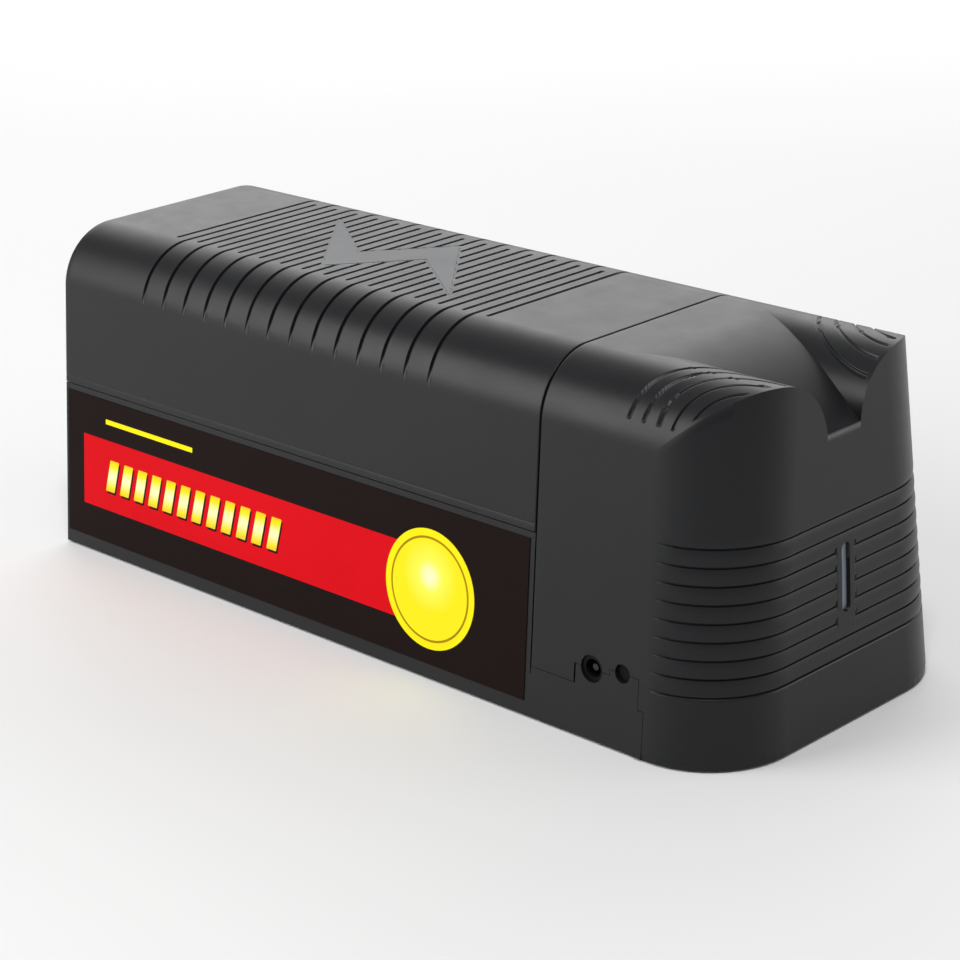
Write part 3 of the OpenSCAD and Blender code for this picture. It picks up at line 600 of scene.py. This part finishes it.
def ring_depth(p, around):
    """Depth of the ring grooves and the soft pillows between them; around is 1 on corners and end."""
    z = p[..., 2]
    depth = np.zeros(z.shape)
    half = RING_W / 2
    for i in range(RING_COUNT):
        zi = RING_Z0 + i * RING_PITCH
        away = np.abs(z - zi) - half
        if 2 <= i <= 6:
            beside = np.abs(p[..., 1]) - RING_STOP_Y
            turn = np.maximum(np.abs(beside - half) - half, np.maximum(zi - z, z - zi - 1.5))
            away = np.maximum(away, -beside)
            away = np.where(np.abs(p[..., 0]) > END_FROM_X, np.minimum(away, turn), away)
        depth = np.maximum(depth, RING_D * smooth(-away / 0.26))
    phase = (z - RING_Z0) / RING_PITCH
    in_rings = smooth((z - RING_Z0 + 1) / 1.0) * smooth((RING_Z0 + RING_PITCH * 9 - z) / 0.7)
    fraction = phase - np.floor(phase)
    pillow = PILLOW_D * (1 - np.sin(math.pi * np.clip(fraction, 0, 1)) ** 0.7) * in_rings
    beside_window = (np.abs(p[..., 1]) < RING_STOP_Y) & (p[..., 0] > END_FROM_X) & (z > 30) & (z < 54)
    plain = np.where(beside_window, 0.0, 1.0)
    return np.maximum(depth, pillow * plain) * around


def window_depth(p):
    """Depth of the slot that the indicator lens sits in."""
    z_mid = np.clip(p[..., 2], WINDOW_Z0 + WINDOW_HALF, WINDOW_Z1 - WINDOW_HALF)
    away = np.hypot(p[..., 1], p[..., 2] - z_mid) - WINDOW_HALF - 0.05
    return WINDOW_D * smooth(-away / 0.2 + 0.5) * (p[..., 0] > END_FROM_X)


def head_sheet(inset, rows_z, xs_common, share, kind, detail):
    """Points of the head's skin: the long sheet (x, column) and the end sheet (height, column)."""
    tangent_z = TOP_CZ + (TOP_R - inset) * math.sin(SIDE_ANGLE)
    low = rows_z < 30
    wall = np.where(low, rows_z, 30 + (rows_z - 30) * (tangent_z - 30) / (rows_z[-1] - 30))
    n_wall, n_top = len(wall), len(share)
    # where each column meets the end surface
    x_top = np.full(n_top, 136.0)
    for _ in range(25):
        y_top, z_top = top_columns(x_top, share, kind, inset)
        x_top = plan_x(y_top, z_top, inset)
    x_wall = plan_x(side_y(wall, inset), wall, inset)
    limit = np.concatenate([x_wall[:-1], x_top])
    split = np.minimum(PART_X[3], PART_X[2] + 0.78 * (limit - PART_X[2]))
    near = np.linspace(0, 1, 4)[1:]
    far_steps = np.linspace(0, 1, 140)[1:]
    columns = []
    for j in range(len(limit)):
        tail = split[j] + (limit[j] - split[j]) * far_steps
        columns.append(np.concatenate([xs_common, PART_X[2] + (split[j] - PART_X[2]) * near, tail]))
    x = np.stack(columns, 1)
    y = np.empty_like(x)
    z = np.empty_like(x)
    y[:, :n_wall - 1] = side_y(wall[:-1], inset)[None, :]
    z[:, :n_wall - 1] = wall[None, :-1]
    y_roof, z_roof = top_columns(x[:, n_wall - 1:], share[None, :], kind[None, :], inset)
    y[:, n_wall - 1:] = y_roof
    z[:, n_wall - 1:] = z_roof
    # near side is at -y; the far half is its mirror image
    long_near = np.stack([x, -y, z], -1)
    long_far = np.stack([x, y, z], -1)[:, ::-1][:, 1:]
    long_sheet = np.concatenate([long_near, long_far], 1)
    # end sheet: every top column runs down the end surface at a constant share of the plan's outline
    y_edge, z_edge = top_columns(x_top, share, kind, inset)
    r = CORNER_R - inset
    cy_edge = side_y(z_edge, inset) - r
    turn = np.arcsin(np.clip((y_edge - cy_edge) / r, 0, 1))
    flat = np.clip(y_edge / cy_edge, 0, 1)
    low_rows = wall[wall < 72]
    n_high = len(wall) - len(low_rows)
    high = np.linspace(0, 1, n_high + 1)[1:, None]
    z_rows = np.concatenate([np.repeat(low_rows[:, None], n_top, 1),
                             low_rows[-1] + (z_edge[None, :] - low_rows[-1]) * high])
    z_rows[:, 0] = wall
    cy = side_y(z_rows, inset) - r
    y_rows = np.where(y_edge[None, :] > cy_edge[None, :], cy + r * np.sin(turn)[None, :], cy * flat[None, :])
    x_rows = plan_x(y_rows, z_rows, inset)
    x_rows[:, 0] = x_wall
    y_rows[:, 0] = side_y(wall, inset)
    x_rows[-1] = x_top
    y_rows[-1] = y_edge
    end_near = np.stack([x_rows, -y_rows, z_rows], -1)
    end_far = np.stack([x_rows, y_rows, z_rows], -1)[:, ::-1][:, 1:]
    end_sheet = np.concatenate([end_near, end_far], 1)
    if detail:
        add_head_relief(long_sheet, end_sheet, n_wall)
    return long_sheet, end_sheet


def add_head_relief(long_sheet, end_sheet, n_wall):
    """Presses the grooves, the window slot and the rounded edges into the head's skin."""
    long_normal = grid_normals(long_sheet)
    end_normal = grid_normals(end_sheet)
    long_normal *= np.sign((long_normal * (long_sheet - np.array([90, 0, 50]))).sum(-1, keepdims=True))
    end_normal *= np.sign(end_normal[..., :1] + 1e-9)
    fall_long = grip_depth(long_sheet) + drop_edge(long_sheet[..., 0] - float(SHELL_LO[0]), 0.3)
    # the rings fade in where the upright corners start
    around = smooth((end_sheet[..., 0] - RING_FADE_X) / RING_FADE)
    fall_end = ring_depth(end_sheet, around) + window_depth(end_sheet)
    columns = long_sheet.shape[1]
    far_wall = columns - n_wall + 1
    # the shared edge of both sheets takes one common fall
    side = slice(n_wall - 1, far_wall)
    long_sheet -= fall_long[..., None] * long_normal
    end_sheet -= fall_end[..., None] * end_normal
    end_sheet[:, 0] = long_sheet[-1, :n_wall]
    end_sheet[:, -1] = long_sheet[-1, far_wall - 1:][::-1]
    end_sheet[-1] = long_sheet[-1, side]


JACK_LO, JACK_HI = box_mm("dc_jack")
BUTTON_LO, BUTTON_HI = box_mm("power_button")
SOCKETS = [((JACK_LO[0] + JACK_HI[0]) / 2, (JACK_LO[2] + JACK_HI[2]) / 2, 3.9),
           ((BUTTON_LO[0] + BUTTON_HI[0]) / 2, (BUTTON_LO[2] + BUTTON_HI[2]) / 2, 2.65)]
SOCKET_STEP = 0.3


def snap_to_holes(sheet, n_wall, inset):
    """Moves the near wall's points that lie close to a socket hole's rim onto that rim."""
    wall = sheet[:, :n_wall - 1]
    for x0, z0, radius in SOCKETS:
        dx, dz = wall[..., 0] - x0, wall[..., 2] - z0
        away = np.hypot(dx, dz)
        close = np.abs(away - radius) < SOCKET_STEP * 0.71
        factor = np.where(close, radius / np.maximum(away, 1e-6), 1.0)
        wall[..., 0] = x0 + dx * factor
        wall[..., 2] = z0 + dz * factor
        wall[..., 1] = np.where(close, -side_y(wall[..., 2], inset), wall[..., 1])


# columns of the head's top on each half: outer arc, hump, valley floor
ARC_COLUMNS = 140
HUMP_COLUMNS = 110
FLOOR_COLUMNS = 64


def make_head():
    """The head's shell: long sheet and end sheet welded along their shared edge, one closed shell."""
    tangent_z = TOP_CZ + TOP_R * math.sin(SIDE_ANGLE)
    ring_profile = np.array([-0.9, -0.42, -0.32, -0.2, 0, 0.2, 0.32, 0.42, 0.9, 1.7, 2.56, 3.4])
    rings = (RING_Z0 + RING_PITCH * np.arange(RING_COUNT)[:, None] + ring_profile[None, :]).ravel()
    round_end = np.arange(-0.3, 2.0, 0.16)
    rows_z = merge_steps(float(SHELL_LO[2]) + np.array([0, 0.15, 0.4]), np.linspace(5, 16, 9), PART_Z,
                         np.arange(16.8, 27.0, SOCKET_STEP),
                         rings, WINDOW_Z0 + round_end, WINDOW_Z1 - round_end, np.linspace(73.5, tangent_z, 9))
    rows_z[-1] = tangent_z
    seam_x = float(SHELL_LO[0])
    xs_common = merge_steps(seam_x + np.array([0, 0.08, 0.2, 0.4]), PART_X[:3], PART_X[0] - TAB_GAP,
                            np.linspace(72, 88, 9), np.arange(88.2, 107.4, SOCKET_STEP),
                            np.linspace(107.6, 109.4, 6))
    kind = np.concatenate([np.zeros(ARC_COLUMNS), np.ones(HUMP_COLUMNS), np.full(FLOOR_COLUMNS, 2)])
    share = np.concatenate([np.linspace(0, 1, ARC_COLUMNS), np.linspace(0, 1, HUMP_COLUMNS + 1)[1:],
                            np.linspace(0, 1, FLOOR_COLUMNS + 1)[1:]])
    long_out, end_out = head_sheet(0.0, rows_z, xs_common, share, kind, True)
    long_in, end_in = head_sheet(WALL, rows_z, xs_common, share, kind, False)
    snap_to_holes(long_out, len(rows_z), 0.0)
    snap_to_holes(long_in, len(rows_z), WALL)
    rows, columns = long_out.shape[:2]
    index = np.arange(rows * columns).reshape(rows, columns)
    n_wall = len(rows_z)
    end_rows, end_columns = end_out.shape[:2]
    far_wall = columns - n_wall + 1
    end_index = np.arange(end_rows * end_columns).reshape(end_rows, end_columns) + rows * columns
    end_index[:, 0] = index[-1, :n_wall]
    end_index[:, -1] = index[-1, far_wall - 1:][::-1]
    end_index[-1] = index[-1, n_wall - 1:far_wall]
    x_mid = (long_out[:-1, :-1, 0] + long_out[1:, 1:, 0]) / 2
    y_mid = (long_out[:-1, :-1, 1] + long_out[1:, 1:, 1]) / 2
    z_mid = (long_out[:-1, :-1, 2] + long_out[1:, 1:, 2]) / 2
    keep = np.ones(x_mid.shape, bool)
    near_steps = [(seam_x - 1, PART_X[0], PART_Z[1]), (PART_X[0] - TAB_GAP, PART_X[1], PART_Z[2]),
                  (PART_X[1], PART_X[2], PART_Z[3]), (PART_X[2], PART_X[3], PART_Z[0])]
    far_steps = [(seam_x - 1, PART_X[2], PART_Z[1]), (PART_X[2], PART_X[3], PART_Z[0])]
    for steps, side in ((near_steps, y_mid < 0), (far_steps, y_mid > 0)):
        for a, b, top in steps:
            keep &= ~(side & (x_mid > a) & (x_mid < b) & (z_mid < top))
    for x0, z0, radius in SOCKETS:
        keep &= ~((y_mid < -40) & (np.hypot(x_mid - x0, z_mid - z0) < radius))
    quads = np.concatenate([grid_quads(index, keep), grid_quads(end_index)[:, ::-1]])
    outer = np.concatenate([long_out.reshape(-1, 3), end_out.reshape(-1, 3)])
    inner = np.concatenate([long_in.reshape(-1, 3), end_in.reshape(-1, 3)])
    points, faces = thick_shell(outer, inner, quads)
    piece = add_piece("head_moulding", points, faces[:, ::-1], CASE, "housing", 66)
    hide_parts("head_shell")


# ---------------------------------------------------------------- printed sticker
BAND_X0 = -130.3
BAND_Z0 = 15.9
BAND_Z1 = 39.3
DISC_X = 29.6
DISC_Z = 27.6
DISC_R = 18.0
BAR_COUNT = 12
BAR_PITCH = 7.1
BAR_W = 4.4
BAR_SLANT = 2.4
BAR_X0 = -119.0
BAR_Z0 = 22.4
BAR_Z1 = 33.0
RULE_X1 = -76.0
RULE_Z0 = 44.6
RULE_Z1 = 46.2
SHADOW_X = 0.6
SHADOW_Z = -0.7


def print_piece(name, outlines, lift, material):
    """Flat printed shapes on the sticker's face, from (x, z) outlines in millimetres."""
    points, faces = [], []
    for outline in outlines:
        base, n = len(points), len(outline)
        for x, z in outline:
            face_y = float(LABEL_LO[1]) + SIDE_DRAFT * (z - float(LABEL_LO[2]))
            points.append((x, face_y + 0.02, z))
        for x, z in outline:
            face_y = float(LABEL_LO[1]) + SIDE_DRAFT * (z - float(LABEL_LO[2]))
            points.append((x, face_y - lift, z))
        faces.append(list(range(base, base + n))[::-1])
        faces.append(list(range(base + n, base + 2 * n)))
        faces += [[base + i, base + (i + 1) % n, base + n + (i + 1) % n, base + n + i] for i in range(n)]
    add_piece(name, points, faces, material, "housing")


def rounded(corners, radius, steps=3):
    """A convex outline, given counterclockwise, with its corners rounded."""
    n = len(corners)
    lines = []
    for (ax, az), (bx, bz) in zip(corners, corners[1:] + corners[:1]):
        length = math.hypot(bx - ax, bz - az)
        normal = ((bz - az) / length, -(bx - ax) / length)
        lines.append((normal, ax * normal[0] + az * normal[1] - radius))
    outline = []
    for i in range(n):
        (n1, d1), (n2, d2) = lines[i - 1], lines[i]
        det = n1[0] * n2[1] - n1[1] * n2[0]
        cx = (d1 * n2[1] - d2 * n1[1]) / det
        cz = (n1[0] * d2 - n2[0] * d1) / det
        a1 = math.atan2(n1[1], n1[0])
        a2 = math.atan2(n2[1], n2[0])
        if a2 < a1:
            a2 += 2 * math.pi
        for k in range(steps + 1):
            a = a1 + (a2 - a1) * k / steps
            outline.append((cx + radius * math.cos(a), cz + radius * math.sin(a)))
    return outline


def block(x0, x1, z0, z1, slant=0.0, radius=0.3):
    """A plain bar's outline with small round corners, leaning by slant."""
    return rounded([(x0, z0), (x1, z0), (x1 + slant, z1), (x0 + slant, z1)], radius)


def circle(radius):
    """A round outline about the disc's centre."""
    turn = [math.pi * k / 36 for k in range(72)]
    return [(DISC_X + radius * math.cos(a), DISC_Z + radius * math.sin(a)) for a in turn]


def make_gold():
    """Yellow ink that runs from deep to pale and back over the height of the bars."""
    material, tree, shader = new_material("print_gold")
    split = tree.nodes.new("ShaderNodeSeparateXYZ")
    tree.links.new(place_node(tree), split.inputs["Vector"])
    span = tree.nodes.new("ShaderNodeMapRange")
    span.inputs["From Min"].default_value = 22.0 * MM
    span.inputs["From Max"].default_value = 33.5 * MM
    tree.links.new(split.outputs["Z"], span.inputs["Value"])
    stops = [(0.0, (0.80, 0.47, 0.004)), (0.18, (0.86, 0.70, 0.03)), (0.5, (0.92, 0.88, 0.5)),
             (0.78, (0.88, 0.74, 0.01)), (1.0, (0.80, 0.52, 0.004))]
    tree.links.new(ramp(tree, span.outputs["Result"], stops), shader.inputs["Base Color"])
    shader.inputs["Roughness"].default_value = 0.5
    shader.inputs["Specular IOR Level"].default_value = 0.1
    return material


def make_print():
    """The sticker's print: a red band, a row of plain slanted bars, a thin rule and a plain disc."""
    band = [(BAND_X0, BAND_Z0), (DISC_X, BAND_Z0), (DISC_X, BAND_Z1), (BAND_X0, BAND_Z1)]
    print_piece("print_band", [band], 0.02, PRINT_RED)
    starts = [BAR_X0 + BAR_PITCH * i for i in range(BAR_COUNT)]
    shadows = [block(x + SHADOW_X, x + BAR_W + SHADOW_X, BAR_Z0 + SHADOW_Z, BAR_Z1 + SHADOW_Z, BAR_SLANT)
               for x in starts]
    print_piece("print_bar_shadows", shadows, 0.035, PRINT_BLACK)
    bars = [block(x, x + BAR_W, BAR_Z0, BAR_Z1, BAR_SLANT) for x in starts]
    print_piece("print_bars", bars, 0.05, make_gold())
    print_piece("print_rule", [block(BAR_X0, RULE_X1, RULE_Z0, RULE_Z1, radius=0.2)], 0.03, PRINT_YELLOW)
    print_piece("print_disc", [circle(DISC_R)], 0.04, PRINT_YELLOW)
    print_piece("print_disc_line", [circle(DISC_R - 2.2)], 0.055, PRINT_AMBER)
    print_piece("print_disc_field", [circle(DISC_R - 2.9)], 0.07, make_disc_ink())


def make_disc_ink():
    """Yellow ink that fades to a pale spot in the middle of the disc."""
    material, tree, shader = new_material("print_disc_ink")
    gap = tree.nodes.new("ShaderNodeVectorMath")
    gap.operation = "DISTANCE"
    gap.inputs[1].default_value = (DISC_X * MM, float(LABEL_LO[1] + 2) * MM, (DISC_Z + 4) * MM)
    tree.links.new(place_node(tree), gap.inputs[0])
    span = tree.nodes.new("ShaderNodeMapRange")
    span.inputs["From Max"].default_value = 11.0 * MM
    tree.links.new(gap.outputs["Value"], span.inputs["Value"])
    stops = [(0.0, (0.95, 0.93, 0.62)), (0.45, (0.92, 0.84, 0.08)), (1.0, (0.88, 0.76, 0.006))]
    tree.links.new(ramp(tree, span.outputs["Result"], stops), shader.inputs["Base Color"])
    shader.inputs["Roughness"].default_value = 0.5
    shader.inputs["Specular IOR Level"].default_value = 0.1
    return material


make_lid()
make_lid_knuckles()
make_head()
make_print()


# ---------------------------------------------------------------- floor and light
def make_floor():
    """A plain pale floor."""
    material, tree, shader = new_material("floor_pale")
    place = place_node(tree)
    cloud = noise(tree, place, 3.0, 2.0)
    tree.links.new(ramp(tree, cloud, [(0.2, grey(0.80)), (0.8, grey(0.82))]), shader.inputs["Base Color"])
    shader.inputs["Roughness"].default_value = 0.7
    mesh = bpy.data.meshes.new("floor")
    half = 6.0
    corners = [(-half, -half, 0), (half, -half, 0), (half, half, 0), (-half, half, 0)]
    mesh.from_pydata(corners, [], [(0, 1, 2, 3)])
    mesh.materials.append(material)
    floor = bpy.data.objects.new("floor", mesh)
    bpy.context.scene.collection.objects.link(floor)


def make_light(name, place, aim, width, height, power):
    """A soft rectangular studio light that points at a place."""
    data = bpy.data.lights.new(name, "AREA")
    data.shape = "RECTANGLE"
    data.size = width
    data.size_y = height
    data.energy = power
    light = bpy.data.objects.new(name, data)
    light.location = place
    light.rotation_mode = "QUATERNION"
    light.rotation_quaternion = (Vector(aim) - Vector(place)).to_track_quat("-Z", "Y")
    bpy.context.scene.collection.objects.link(light)


def make_world(strength):
    """An even pale surround."""
    world = bpy.data.worlds.new("surround")
    world.use_nodes = True
    back = world.node_tree.nodes["Background"]
    back.inputs["Color"].default_value = (1.0, 1.0, 1.0, 1.0)
    back.inputs["Strength"].default_value = strength
    bpy.context.scene.world = world


make_floor()
make_world(0.40)
make_light("light_back", (-0.75, 1.0, 0.62), (0, 0, 0.06), 2.2, 0.8, 10.5)
make_light("light_side", (-0.8, -1.15, 0.62), (-0.03, 0, 0.03), 1.0, 1.0, 15.0)
make_light("light_end", (1.25, 1.1, 0.22), (0.12, 0, 0.04), 1.0, 0.4, 7.0)
make_light("light_top", (0.34, -0.34, 1.1), (0.05, 0, 0.05), 0.16, 0.16, 5.0)
bpy.context.scene.view_settings.view_transform = "Standard"
